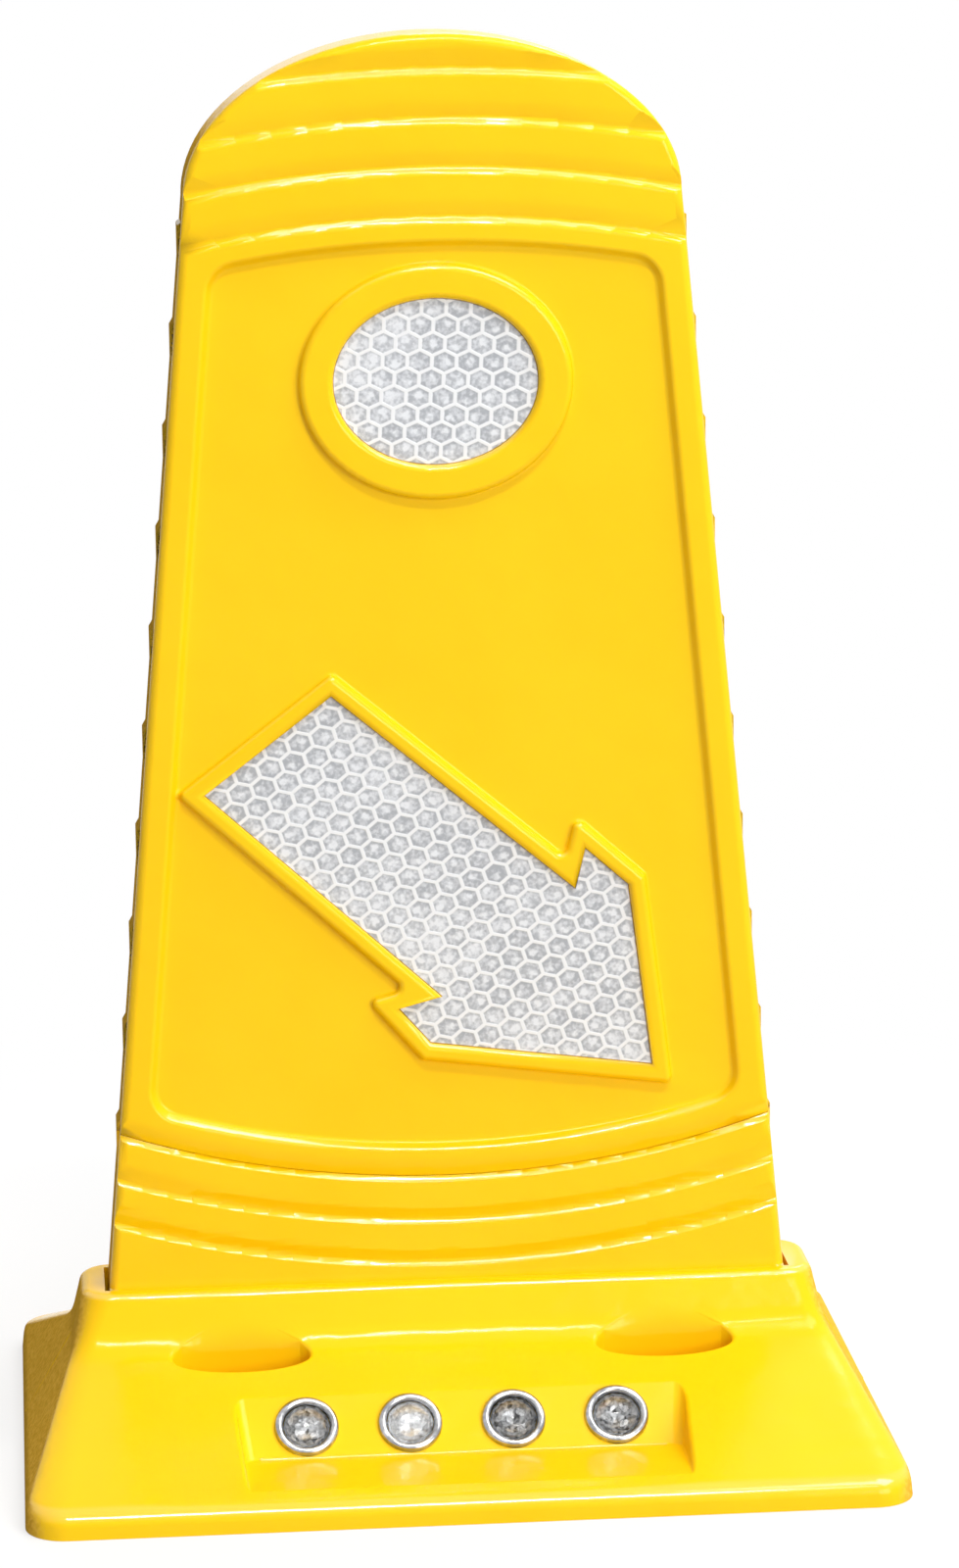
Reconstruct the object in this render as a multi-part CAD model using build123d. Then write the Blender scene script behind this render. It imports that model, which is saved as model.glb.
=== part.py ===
from build123d import *
import os
from math import cos, hypot, radians, sin, sqrt, tan

# Flexible lane bollard: a flat hollow panel stands on a rubber neck that is clamped in a hipped base.
# Millimetres, +Z up, the front looks along -Y, origin on the ground at the middle of the base.

# Base: lip, sloping skirt and steep collar
base_width = 380.0
base_depth = 280.0
lip_height = 10.0
lip_inset = 1.0
lip_corner_r = 18.0
skirt_top_z = 47.0
skirt_top_width = 334.0
skirt_top_depth = 66.0
collar_top_z = 70.0
collar_top_width = 325.0
collar_top_depth = 48.0
hip_corner_r = 9.0
collar_corner_r = 14.0
collar_edge_r = 4.5
collar_foot_drop = 3.2
collar_foot_climb = 9.0
lip_edge_r = 5.0
bend_steps = 5
parting_rise = 0.5
parting_half = 0.6

# Cored underside
base_wall = 6.0
rib_thickness = 4.0
rib_pitch = 52.0
cross_rib_y = 84.0

# Oval anchor pockets, two in front and two behind
anchor_spacing_x = 187.0
anchor_spacing_y = 77.0
anchor_hole_r = 5.5
pocket_half_width = 30.0
pocket_half_depth = 9.5
pocket_floor_z = 12.0
pocket_wall = 5.0
pocket_rim_r = 2.0
pocket_floor_r = 3.0

# Bead recess in the skirt, with a leaning back wall
recess_floor_z = 14.0
recess_top_z = 35.0
recess_wall_lean = 44.0
recess_floor_half_width = 91.5
recess_side_draft = 24.0
recess_back_thickness = 11.0
recess_corner_r = 6.0
recess_foot_r = 2.0
recess_rim_r = 3.0

# Glass beads and the rings that hold them
bead_count = 4
bead_spacing = 45.0
bead_r = 10.2
bead_body = 6.0
bead_dome = 4.6
ring_outer_r = 14.0
ring_flange = 2.6
ring_edge_r = 1.0
ring_barrel_wall = 1.1
ring_depth = 6.5
ring_floor = 1.0
ring_floor_hole_r = 7.5
bead_clearance = 0.15
seat_clearance = 0.1

# Panel: outline, steps and raised border
panel_height = 548.5
panel_thickness = 34.0
foot_width = 300.5
shoulder_width = 213.5
dome_height = 68.5
panel_edge_r = 4.0
step_depth = 2.6
step_half = 2.6
top_step_count = 4
top_step_pitch = 21.0
top_step_first = 79.0
top_step_r = 520.0
top_step_run = 11.5
low_step_count = 3
low_step_pitch = 19.4
low_step_r = 451.5
low_step_run = 14.0
neck_height = 44.5
field_depth = 4.0
field_border = 12.0
field_top_gap = 8.5
field_low_gap = 14.5
field_corner_r = 12.0
field_draft = 35.0
field_edge_r = 2.5

# Stepped bands on the panel's two side edges
band_teeth = 10
band_pitch = 44.0
band_top = 72.5
band_width = 18.0
band_ramp = 7.0
band_inset = 1.9
band_root = 8.0

# Reflectors and the raised rims round them
disc_half_width = 44.0
disc_half_height = 35.7
disc_height = 400.0
disc_rim_width = 15.0
rim_rise = 4.6
rim_edge_r = 3.0
rim_foot_r = 1.5
arrow_height = 180.0
arrow_rim_width = 8.0
arrow_corner_r = 3.0
arrow_points = [(-47.5, 83.5), (58.5, -5.5), (63.0, 12.5), (81.5, -4.0), (91.5, -85.5),
                (-6.0, -72.5), (-19.5, -57.0), (-0.5, -52.0), (-103.0, 41.5)]
sheet_thickness = 1.0
sheet_clearance = 0.3

# Hollow of the panel shells
shell_wall = 7.0
cavity_height = 9.0
shell_rib = 3.0
shell_rib_pitch = 52.0

# Tongue of the neck, which the shells grip on dowels
tongue_width = 220.0
tongue_thickness = 10.0
tongue_rise = 80.0
tongue_corner_r = 16.0
dowel_r = 4.0
dowel_length = 22.0
dowel_spacing_x = 80.0
dowel_spacing_z = 32.0
dowel_rise = 28.0
dowel_boss_r = 9.0
fit_clearance = 0.3
seam_gap = 0.3

# Foot of the neck and the plate that clamps it
slot_end_gap = 2.0
slot_face_gap = 0.4
flange_ledge = 6.0
flange_ledge_y = 5.0
flange_thickness = 10.0
flange_bottom_z = 18.0
plate_thickness = 3.0
plate_margin = 3.0
ear_spacing_x = 140.0
ear_spacing_y = 64.0
ear_width = 26.0
ear_margin = 8.0
plate_corner_r = 4.0
plate_gap = 1.0
screw_r = 2.5
screw_length = 18.0
screw_head_r = 5.2
screw_head = 3.4
screw_hole_gap = 0.6
pilot_gap = 0.05

half_thickness = panel_thickness / 2
apex_z = collar_top_z + panel_height
shoulder_z = apex_z - dome_height
seam_z = collar_top_z + neck_height
low_centre_z = seam_z + low_step_r
seam_r = low_step_r - step_half
top_centre_z = apex_z - top_step_first - top_step_r
field_level = half_thickness - field_depth
side_slope = (foot_width - shoulder_width) / 2 / (shoulder_z - collar_top_z)
flange_top_z = flange_bottom_z + flange_thickness
plate_bottom_z = flange_bottom_z - plate_thickness
flange_width = foot_width + 2 * flange_ledge
flange_depth = panel_thickness + 2 * flange_ledge_y
sky = 2 * (apex_z + base_width)


# Half the width of the panel's straight sides at a height
def half_width(z):
    return foot_width / 2 - side_slope * (z - collar_top_z)


# Distance of the skirt's outer face from the middle plane at a height
def skirt_y(z):
    lip_y = base_depth / 2 - lip_inset
    share = (z - lip_height) / (skirt_top_z - lip_height)
    return lip_y + (skirt_top_depth / 2 - lip_y) * share


# A shape and its copy turned half a turn about the upright axis
def both_sides(shape):
    return [shape, Rot(0, 0, 180) * shape]


# A flat front-view face pushed towards the front, between two distances from the middle plane
def push(face, start, end):
    return extrude(Plane.XZ.offset(start) * face, amount=end - start)


# A disc in front view round the centre of the lower or the upper step lines
def front_circle(centre_z, radius):
    return Pos(0, centre_z) * Circle(radius)


# Front outline of the panel above the collar, drawn in on all free sides
def panel_face(inset):
    foot = foot_width / 2 - inset
    shoulder = shoulder_width / 2 - inset
    left = Line((-foot, collar_top_z), (-shoulder, shoulder_z))
    dome = EllipticalCenterArc((0, shoulder_z), shoulder, dome_height - inset, arc_size=180)
    right = Line((shoulder, shoulder_z), (foot, collar_top_z))
    bottom = Line((foot, collar_top_z), (-foot, collar_top_z))
    return make_face([left, dome, right, bottom])


# Ring of a step: a soft rise across the step's line, then a slope back out to the face
def step_ring(centre_z, line_r, run_out_r):
    way = 1 if run_out_r > line_r else -1
    face_y = -half_thickness
    proud = (face_y, centre_z + line_r - way * step_half)
    middle = (face_y + step_depth / 2, centre_z + line_r)
    deep = (face_y + step_depth, centre_z + line_r + way * step_half)
    run_out = (face_y, centre_z + run_out_r - way * step_half)
    rise = [TangentArc(proud, middle, tangent=(0, way)), TangentArc(deep, middle, tangent=(0, -way))]
    outside = [(face_y - step_depth, run_out[1]), (face_y - step_depth, proud[1])]
    profile = make_face([*rise, Polyline(deep, run_out, *outside, proud)])
    return revolve(Plane.YZ * profile, Axis((0, 0, centre_z), (0, 1, 0)))


# Front view of the stepped band along both side edges
def band_face():
    top = shoulder_z + dome_height - band_top
    points = [(half_width(top) - band_root, top)]
    for tooth in range(band_teeth):
        upper = top - tooth * band_pitch
        lower = upper - band_pitch
        x = half_width(lower) - band_inset
        points.append((x, upper - band_ramp))
        points.append((x, lower))
    foot = top - band_teeth * band_pitch
    points.append((half_width(foot) - band_root, foot))
    right = make_face(Polyline(*points, close=True))
    return right + mirror(right, about=Plane.YZ)


# Space of the sunk field, between the upper and the lower step lines, with leaning walls
def field_space():
    wall = field_depth * tan(radians(field_draft))
    upper = half_width(shoulder_z) - field_border - wall
    lower = half_width(collar_top_z) - field_border - wall
    sides = [(-lower, collar_top_z), (lower, collar_top_z), (upper, shoulder_z), (-upper, shoulder_z)]
    floor = make_face(Polyline(*sides, close=True))
    floor &= front_circle(top_centre_z, top_step_r - field_top_gap - wall)
    floor &= front_circle(low_centre_z, low_step_r - field_low_gap - wall)
    floor = fillet(floor.vertices(), field_corner_r)
    space = extrude(Plane.XZ.offset(field_level) * floor, amount=2 * field_depth, taper=-field_draft)
    return fillet(space.faces().sort_by(Axis.Y)[-1].edges(), field_edge_r)


# Outline of the round reflector, let out all round
def disc_face(let_out):
    centre = Pos(0, collar_top_z + disc_height)
    return centre * Ellipse(disc_half_width + let_out, disc_half_height + let_out)


# Outline of the arrow reflector, let out all round
def arrow_face(let_out):
    arrow = Pos(0, collar_top_z + arrow_height) * make_face(Polyline(*arrow_points, close=True))
    if let_out > sheet_clearance:
        arrow = offset(arrow, let_out, kind=Kind.INTERSECTION)
        return fillet(arrow.vertices(), arrow_corner_r)
    return offset(arrow, let_out, kind=Kind.INTERSECTION) if let_out else arrow


# Raised rim with rounded top edges, standing in the field round a reflector
def reflector_rim(outer_face, inner_face):
    rim = push(outer_face - inner_face, field_level - field_depth / 2, field_level + rim_rise)
    crown = rim.faces().sort_by(Axis.Y)[0]
    return fillet(crown.edges(), rim_edge_r)


# Places of the dowels in front view
def dowel_places():
    places = []
    for row in range(2):
        for column in (-1, 0, 1):
            places.append((column * dowel_spacing_x, seam_z + dowel_rise + row * dowel_spacing_z))
    return places


# A round rod across the panel's thickness, centred on the middle plane
def cross_rod(place, radius, length):
    return push(Pos(*place) * Circle(radius), -length / 2, length / 2)


# Hollow of one shell: an even wall round it, stiffening ribs above the tongue and bosses on the tongue
def shell_cavity():
    face = panel_face(shell_wall) & front_circle(low_centre_z, seam_r - shell_wall)
    cavity = push(face, 0, cavity_height)
    rib_foot = seam_z + tongue_rise + shell_rib_pitch / 4
    ribs = []
    for index in range(int((apex_z - rib_foot) / shell_rib_pitch) + 1):
        z = rib_foot + index * shell_rib_pitch
        ribs.append(Pos(0, z) * Rectangle(foot_width, shell_rib))
    for index in (-1, 0, 1):
        x = index * shell_rib_pitch
        ribs.append(Pos(x, (rib_foot + apex_z) / 2) * Rectangle(shell_rib, apex_z - rib_foot))
    for rib in ribs:
        cavity -= push(rib, 0, cavity_height)
    for place in dowel_places():
        grip = tongue_thickness / 2 + fit_clearance
        cavity -= push(Pos(*place) * Circle(dowel_boss_r), grip, cavity_height)
    return cavity


# Front half of the panel; the rear half is the same moulding turned round
def panel_shell():
    face = panel_face(0) & front_circle(low_centre_z, seam_r)
    shell = push(face, 0, half_thickness)
    front = shell.faces().sort_by(Axis.Y)[0]
    shell = fillet(front.edges().sort_by(Axis.Z)[1:], panel_edge_r)
    shell -= field_space()
    crown = shell.faces().sort_by(Axis.Y)[0]
    shell = fillet(crown.inner_wires()[0].edges(), field_edge_r)
    for index in range(top_step_count):
        deep_r = top_step_r + index * top_step_pitch
        shell -= step_ring(top_centre_z, deep_r, deep_r + top_step_run)
    shell -= step_ring(low_centre_z, low_step_r, low_step_r - low_step_run)
    shell += push(band_face() & front_circle(low_centre_z, seam_r), 0, band_width / 2)
    shell += reflector_rim(disc_face(disc_rim_width), disc_face(sheet_clearance))
    shell += reflector_rim(arrow_face(arrow_rim_width), arrow_face(sheet_clearance))
    floor = [face for face in shell.faces() if abs(face.center().Y + field_level) < fit_clearance]
    floor = ShapeList(floor).sort_by(SortBy.AREA)[-1]
    shell = fillet([edge for wire in floor.inner_wires() for edge in wire.edges()], rim_foot_r)
    shell -= shell_cavity()
    slot_width = tongue_width + 2 * fit_clearance
    slot_height = tongue_thickness / 2 + fit_clearance
    slot = Pos(0, seam_z) * Rectangle(slot_width, 2 * low_step_run + neck_height)
    shell -= push(slot, 0, slot_height)
    for place in dowel_places():
        shell -= cross_rod(place, dowel_r, dowel_length)
    return shell


# Thin reflector sheet lying on the field inside its rim
def reflector_sheet(face):
    return push(face, field_level, field_level + sheet_thickness)


# Rubber neck: the stepped foot of the panel, its tongue above and its stem and flange below
def flex_neck():
    upper = panel_face(0) - front_circle(low_centre_z, seam_r + seam_gap)
    neck = push(upper, -half_thickness, half_thickness)
    side_edges = neck.edges().filter_by(GeomType.LINE)
    side_edges = side_edges.filter_by(lambda edge: abs(edge.center().Y) > half_thickness / 2)
    side_edges = side_edges.filter_by(lambda edge: edge.bounding_box().size.Z > neck_height / 2)
    neck = fillet(side_edges, panel_edge_r)
    for index in range(low_step_count):
        line_r = low_step_r + index * low_step_pitch
        ring = step_ring(low_centre_z, line_r, line_r - low_step_run)
        for cut in both_sides(ring):
            neck -= cut
    band = band_face() - front_circle(low_centre_z, seam_r + seam_gap)
    neck += push(band, -band_width / 2, band_width / 2)
    stem_height = collar_top_z - flange_top_z
    neck += Pos(0, 0, flange_top_z + stem_height / 2) * Box(foot_width, panel_thickness, stem_height)
    flange = Box(flange_width, flange_depth, flange_thickness)
    neck += Pos(0, 0, flange_bottom_z + flange_thickness / 2) * flange
    tongue_foot = seam_z - neck_height / 2
    tongue_height = seam_z + tongue_rise - tongue_foot
    tongue = RectangleRounded(tongue_width, tongue_height, tongue_corner_r)
    tongue = Pos(0, tongue_foot + tongue_height / 2) * tongue
    neck += push(tongue, -tongue_thickness / 2, tongue_thickness / 2)
    for place in dowel_places():
        neck -= cross_rod(place, dowel_r + fit_clearance, panel_thickness)
    return neck


# Dowels that lock the two shells on the tongue
def panel_dowels():
    return Compound([cross_rod(place, dowel_r, dowel_length) for place in dowel_places()])


# Places of the clamping screws in plan
def screw_places():
    return [(x * ear_spacing_x, y * ear_spacing_y / 2) for x in (-1, 0, 1) for y in (-1, 1)]


# Plan of the clamping plate: a long strip with three pairs of screw ears
def plate_plan(let_out):
    strip_width = flange_width + 2 * plate_margin + 2 * let_out
    strip_depth = flange_depth + 2 * plate_margin + 2 * let_out
    ear_depth = ear_spacing_y + 2 * ear_margin + 2 * let_out
    plan = Rectangle(strip_width, strip_depth)
    for index in (-1, 0, 1):
        plan += Pos(index * ear_spacing_x, 0) * Rectangle(ear_width + 2 * let_out, ear_depth)
    return plan


# Steel plate that holds the neck's flange up in the base
def clamp_plate():
    plate = extrude(Pos(0, 0, plate_bottom_z) * plate_plan(0), amount=plate_thickness)
    plate = fillet(plate.edges().filter_by(Axis.Z), plate_corner_r / 2)
    for x, y in screw_places():
        plate -= Pos(x, y, plate_bottom_z) * Cylinder(screw_r + screw_hole_gap, 4 * plate_thickness)
    return plate


# One clamping screw, head down under the plate
def clamp_screw(x, y):
    head = Pos(x, y, plate_bottom_z - screw_head / 2) * Cylinder(screw_head_r, screw_head)
    shank = Pos(x, y, plate_bottom_z + screw_length / 2) * Cylinder(screw_r, screw_length)
    return head + shank


# Plan rectangle of the base at one level
def base_section(width, depth, corner_r, z):
    return Pos(0, 0, z) * RectangleRounded(width, depth, corner_r)


# Level of the base on the straight wall between two levels; a level is width, depth, corner radius and height
def between(lower, upper, share):
    return [low + (high - low) * share for low, high in zip(lower, upper)]


# Sections of a smooth bend between two walls, drawn towards the level where they would meet
def bend(start, corner, end):
    sections = []
    for index in range(bend_steps + 1):
        share = index / bend_steps
        level = between(between(start, corner, share), between(corner, end, share), share)
        sections.append(base_section(*level))
    return sections


# Solid outer form of the base, with a rounded lip, a hollow bend under the collar and a rounded top
def base_outer():
    ground = (base_width, base_depth, lip_corner_r, 0)
    lip = (base_width - 2 * lip_inset, base_depth - 2 * lip_inset, lip_corner_r - lip_inset, lip_height)
    hip = (skirt_top_width, skirt_top_depth, hip_corner_r, skirt_top_z)
    crown = (collar_top_width, collar_top_depth, collar_corner_r, collar_top_z)
    skirt_rise = skirt_top_z - lip_height
    lip_start = between(ground, lip, 1 - lip_edge_r / lip_height)
    lip_end = between(lip, hip, lip_edge_r / 2 / skirt_rise)
    foot_start = between(lip, hip, 1 - collar_foot_drop / skirt_rise)
    foot_end = between(hip, crown, collar_foot_climb / (collar_top_z - skirt_top_z))
    foot = bend(foot_start, hip, foot_end)
    skirt = loft([base_section(*ground), *bend(lip_start, lip, lip_end), foot[0]], ruled=True)
    collar = loft([foot[-1], base_section(*crown)], ruled=True)
    outer = skirt + loft(foot) + collar
    return fillet(outer.faces().sort_by(Axis.Z)[-1].edges(), collar_edge_r)


# Thin raised line that the mould's parting leaves up both ends of the base
def parting_lines():
    outside = [(base_width / 2 - lip_inset, lip_height),
               (skirt_top_width / 2 + parting_rise, skirt_top_z),
               (collar_top_width / 2 + parting_rise, collar_top_z - collar_edge_r)]
    inside = [(x - base_wall / 2, z) for x, z in reversed(outside)]
    line = push(make_face(Polyline(*outside, *inside, close=True)), -parting_half, parting_half)
    return both_sides(line)


# Places of the four anchors in plan
def anchor_places():
    return [(x * anchor_spacing_x / 2, y * anchor_spacing_y / 2) for x in (-1, 1) for y in (-1, 1)]


# Upper edge and foot of the recess's leaning back wall, as distances behind the front
def recess_wall():
    rise = recess_top_z - recess_floor_z
    run = rise / tan(radians(recess_wall_lean))
    top_y = -skirt_y(recess_top_z)
    return top_y, top_y - run


# Space of the front bead recess, let out below and behind by a wall
def recess_space(wall):
    foot_y = recess_wall()[1]
    lean = radians(recess_wall_lean)
    high_z = collar_top_z
    reach = (high_z - recess_floor_z) / tan(lean)
    back_y = foot_y + wall / sin(lean)
    floor_wall = wall * base_wall / recess_back_thickness
    front_y = -base_depth
    floor_level = recess_floor_z - floor_wall
    profile = Polyline((front_y, floor_level), (back_y - floor_wall / tan(lean), floor_level),
                       (back_y + reach, high_z), (front_y, high_z), close=True)
    prism = extrude(Plane.YZ * make_face(profile), amount=base_width / 2, both=True)
    spread = tan(radians(recess_side_draft))
    low_half = recess_floor_half_width + floor_wall - floor_wall * spread
    high_half = low_half + (high_z - floor_level) * spread
    sides = Polyline((-low_half, floor_level), (low_half, floor_level),
                     (high_half, high_z), (-high_half, high_z), close=True)
    return prism & push(make_face(sides), 0, base_depth)


# Cutter of the front bead recess, with rounded inner corners
def recess_cutter():
    cutter = recess_space(0)
    corners = cutter.edges().filter_by(lambda edge: min(edge.bounding_box().size) > recess_foot_r)
    cutter = fillet(corners, recess_corner_r)
    floor = cutter.faces().sort_by(Axis.Z)[0]
    return fillet(floor.edges().sort_by(Axis.Y)[1:], recess_foot_r)


# Whether an edge lies where a recess breaks the skirt
def on_recess_rim(edge):
    middle = edge.center()
    on_skirt = abs(abs(middle.Y) - skirt_y(middle.Z)) < recess_foot_r / 2
    inside = abs(middle.X) < base_width / 2 - skirt_top_z
    return on_skirt and inside and recess_floor_z < middle.Z < recess_top_z + fit_clearance


# Whether an edge lies where an anchor pocket breaks the skirt or the collar
def on_pocket_rim(edge):
    middle = edge @ 0.5
    across = (abs(middle.X) - anchor_spacing_x / 2) / pocket_half_width
    along = (abs(middle.Y) - anchor_spacing_y / 2) / pocket_half_depth
    upright = edge.bounding_box().size.X < fit_clearance
    above_floor = middle.Z > pocket_floor_z + 2 * pocket_floor_r
    return abs(hypot(across, along) - 1) < 0.01 and above_floor and not upright


# Frames of the front beads: each looks out square from the recess's back wall
def bead_frames():
    top_y, foot_y = recess_wall()
    y = (top_y + foot_y) / 2
    z = (recess_top_z + recess_floor_z) / 2
    lean = radians(recess_wall_lean)
    outward = (0, -sin(lean), cos(lean))
    frames = []
    for index in range(bead_count):
        x = (index - (bead_count - 1) / 2) * bead_spacing
        frames.append(Plane(origin=(x, y, z), x_dir=(1, 0, 0), z_dir=outward))
    return frames


# Silver ring with a flange that lies on the wall and a barrel let into it
def bead_ring():
    bore_r = bead_r + bead_clearance
    barrel_r = bore_r + ring_barrel_wall
    points = [(bore_r, ring_flange), (ring_outer_r, ring_flange), (ring_outer_r, 0), (barrel_r, 0),
              (barrel_r, -ring_depth), (ring_floor_hole_r, -ring_depth),
              (ring_floor_hole_r, ring_floor - ring_depth), (bore_r, ring_floor - ring_depth)]
    ring = revolve(Plane.XZ * make_face(Polyline(*points, close=True)), Axis.Z)
    top = ring.edges().group_by(Axis.Z)[-1].sort_by(SortBy.LENGTH)[-1]
    return fillet(top, ring_edge_r)


# Glass bead: a short drum with a domed face, seated on the ring's inner floor
def bead_lens():
    foot = ring_floor - ring_depth
    edge = foot + bead_body
    dome_r = (bead_r ** 2 + bead_dome ** 2) / (2 * bead_dome)
    drop = dome_r - bead_dome
    half = sqrt((1 + drop / dome_r) / 2)
    middle = (dome_r * sqrt(1 - half ** 2), edge - drop + dome_r * half)
    side = Polyline((0, edge + bead_dome), (0, foot), (bead_r, foot), (bead_r, edge))
    dome = ThreePointArc((bead_r, edge), middle, (0, edge + bead_dome))
    return revolve(Plane.XZ * make_face([side, dome]), Axis.Z)


# Space under the base between its walls, ribs, bosses and pads
def base_hollow():
    lip_width = base_width - 2 * base_wall
    lip_depth = base_depth - 2 * base_wall
    roof_z = skirt_top_z - base_wall
    floor_z = lip_height - base_wall / 2
    sections = [base_section(lip_width, lip_depth, lip_corner_r - base_wall, -base_wall)]
    sections.append(base_section(lip_width, lip_depth, lip_corner_r - base_wall, floor_z))
    sections.append(base_section(skirt_top_width - 2 * base_wall, skirt_top_depth - 2 * base_wall,
                                 hip_corner_r / 2, roof_z))
    hollow = loft(sections, ruled=True)
    count = int(base_width / 2 / rib_pitch)
    for index in range(-count, count + 1):
        hollow -= Pos(index * rib_pitch, 0, 0) * Box(rib_thickness, base_depth, sky)
    for y in (-cross_rib_y, cross_rib_y):
        hollow -= Pos(0, y, 0) * Box(base_width, rib_thickness, sky)
    hollow -= Box(flange_width + 2 * base_wall, flange_depth + 2 * base_wall, sky)
    hollow -= extrude(plate_plan(0), amount=sky, both=True)
    for x, y in anchor_places():
        boss = Ellipse(pocket_half_width + pocket_wall, pocket_half_depth + pocket_wall)
        hollow -= extrude(Pos(x, y) * boss, amount=sky, both=True)
    for backing in both_sides(recess_space(recess_back_thickness)):
        hollow -= backing
    return hollow


# The moulded base with its slot, pockets, recesses and seats
def base_moulding():
    base = base_outer()
    for cutter in both_sides(recess_cutter()):
        base -= cutter
    base = fillet(base.edges().filter_by(on_recess_rim), recess_rim_r)
    for x, y in anchor_places():
        pocket = Pos(x, y, pocket_floor_z) * Ellipse(pocket_half_width, pocket_half_depth)
        pocket = extrude(pocket, amount=sky)
        base -= fillet(pocket.faces().sort_by(Axis.Z)[0].edges(), pocket_floor_r)
    base = fillet(base.edges().filter_by(on_pocket_rim), pocket_rim_r)
    for line in parting_lines():
        base += line
    base -= base_hollow()
    slot_width = foot_width + 2 * slot_end_gap
    slot_depth = panel_thickness + 2 * slot_face_gap
    base -= Box(slot_width, slot_depth, sky)
    pocket_top = flange_top_z + fit_clearance
    pocket = Rectangle(flange_width + 2 * fit_clearance, flange_depth + 2 * fit_clearance)
    base -= extrude(pocket, amount=pocket_top)
    base -= extrude(plate_plan(plate_gap), amount=flange_bottom_z)
    for x, y in anchor_places():
        base -= Pos(x, y, 0) * Cylinder(anchor_hole_r, sky)
    for x, y in screw_places():
        pilot = screw_length - plate_thickness + screw_r
        base -= extrude(Pos(x, y, flange_bottom_z) * Circle(screw_r + pilot_gap), amount=pilot)
    seat_r = bead_r + bead_clearance + ring_barrel_wall + seat_clearance
    for frame in bead_frames():
        seat = frame * Pos(0, 0, -ring_depth / 2) * Cylinder(seat_r, ring_depth)
        for side in both_sides(seat):
            base -= side
    return base


# Every node of the bollard with its solid
def assembly():
    shell = panel_shell()
    disc = reflector_sheet(disc_face(0))
    arrow = reflector_sheet(arrow_face(0))
    nodes = {"base_moulding": base_moulding(), "flex_neck": flex_neck(), "clamp_plate": clamp_plate()}
    nodes["clamp_screws"] = Compound([clamp_screw(x, y) for x, y in screw_places()])
    nodes["panel_dowels"] = panel_dowels()
    pairs = {"panel_shell": shell, "round_reflector": disc, "arrow_reflector": arrow}
    ring = bead_ring()
    lens = bead_lens()
    for index, frame in enumerate(bead_frames(), start=1):
        pairs[f"bead_ring_{index}"] = frame * ring
        pairs[f"bead_lens_{index}"] = frame * lens
    for name, shape in pairs.items():
        front, rear = both_sides(shape)
        nodes[f"front_{name}"] = front
        nodes[f"rear_{name}"] = rear
    return nodes


os.makedirs("parts", exist_ok=True)
for node, shape in assembly().items():
    export_step(shape, f"parts/{node}.step")
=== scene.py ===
import math

import bpy
from mathutils import Matrix, Vector


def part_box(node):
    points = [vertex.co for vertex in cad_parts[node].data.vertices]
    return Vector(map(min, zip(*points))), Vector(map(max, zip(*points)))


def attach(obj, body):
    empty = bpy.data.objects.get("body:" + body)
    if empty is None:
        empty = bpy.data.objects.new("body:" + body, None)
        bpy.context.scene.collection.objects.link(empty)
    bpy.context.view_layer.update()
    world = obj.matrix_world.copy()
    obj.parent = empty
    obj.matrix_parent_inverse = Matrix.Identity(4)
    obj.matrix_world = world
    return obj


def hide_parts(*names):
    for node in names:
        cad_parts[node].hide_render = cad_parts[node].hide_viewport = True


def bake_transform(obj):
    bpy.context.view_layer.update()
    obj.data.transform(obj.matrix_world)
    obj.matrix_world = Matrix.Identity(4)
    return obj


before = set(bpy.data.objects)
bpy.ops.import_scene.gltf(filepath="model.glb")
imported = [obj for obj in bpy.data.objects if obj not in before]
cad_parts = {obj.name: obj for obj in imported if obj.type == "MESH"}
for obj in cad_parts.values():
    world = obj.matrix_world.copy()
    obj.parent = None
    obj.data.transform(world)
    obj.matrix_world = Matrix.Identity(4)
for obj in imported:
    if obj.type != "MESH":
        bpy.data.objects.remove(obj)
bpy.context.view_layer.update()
print("stage: frame loaded,", len(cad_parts), "nodes")


# a socket that does maths: expressions on values add Math nodes
class Wire:
    def __init__(self, tree, socket=None):
        self.tree = tree
        self.socket = socket

    def node(self, kind, settings=None, inputs=None, output=0):
        made = self.tree.nodes.new(kind)
        for name, value in (settings or {}).items():
            setattr(made, name, value)
        for name, value in (inputs or {}).items():
            if isinstance(value, Wire):
                self.tree.links.new(value.socket, made.inputs[name])
            else:
                made.inputs[name].default_value = value
        return Wire(self.tree, made.outputs[output])

    def other(self, output):
        return Wire(self.tree, self.socket.node.outputs[output])

    def math(self, operation, *values):
        return self.node("ShaderNodeMath", {"operation": operation}, dict(enumerate(values)))

    def mixColour(self, factor, first, second):
        settings = {"data_type": "RGBA", "clamp_factor": True}
        return self.node("ShaderNodeMix", settings, {0: factor, 6: first, 7: second}, output=2)

    def ramp(self, low, high):
        settings = {"interpolation_type": "SMOOTHSTEP"}
        return self.node("ShaderNodeMapRange", settings, {0: self, 1: low, 2: high})

    def __add__(self, other):
        return self.math("ADD", self, other)

    def __radd__(self, other):
        return self.math("ADD", other, self)

    def __sub__(self, other):
        return self.math("SUBTRACT", self, other)

    def __rsub__(self, other):
        return self.math("SUBTRACT", other, self)

    def __mul__(self, other):
        return self.math("MULTIPLY", self, other)

    def __rmul__(self, other):
        return self.math("MULTIPLY", other, self)

    def __truediv__(self, other):
        return self.math("DIVIDE", self, other)

    def __rtruediv__(self, other):
        return self.math("DIVIDE", other, self)

    def __abs__(self):
        return self.math("ABSOLUTE", self)


def newMaterial(name):
    material = bpy.data.materials.new(name)
    material.use_nodes = True
    shader = material.node_tree.nodes["Principled BSDF"]
    return material, shader, Wire(material.node_tree)


def feed(wire, shader, name):
    wire.tree.links.new(wire.socket, shader.inputs[name])


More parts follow.
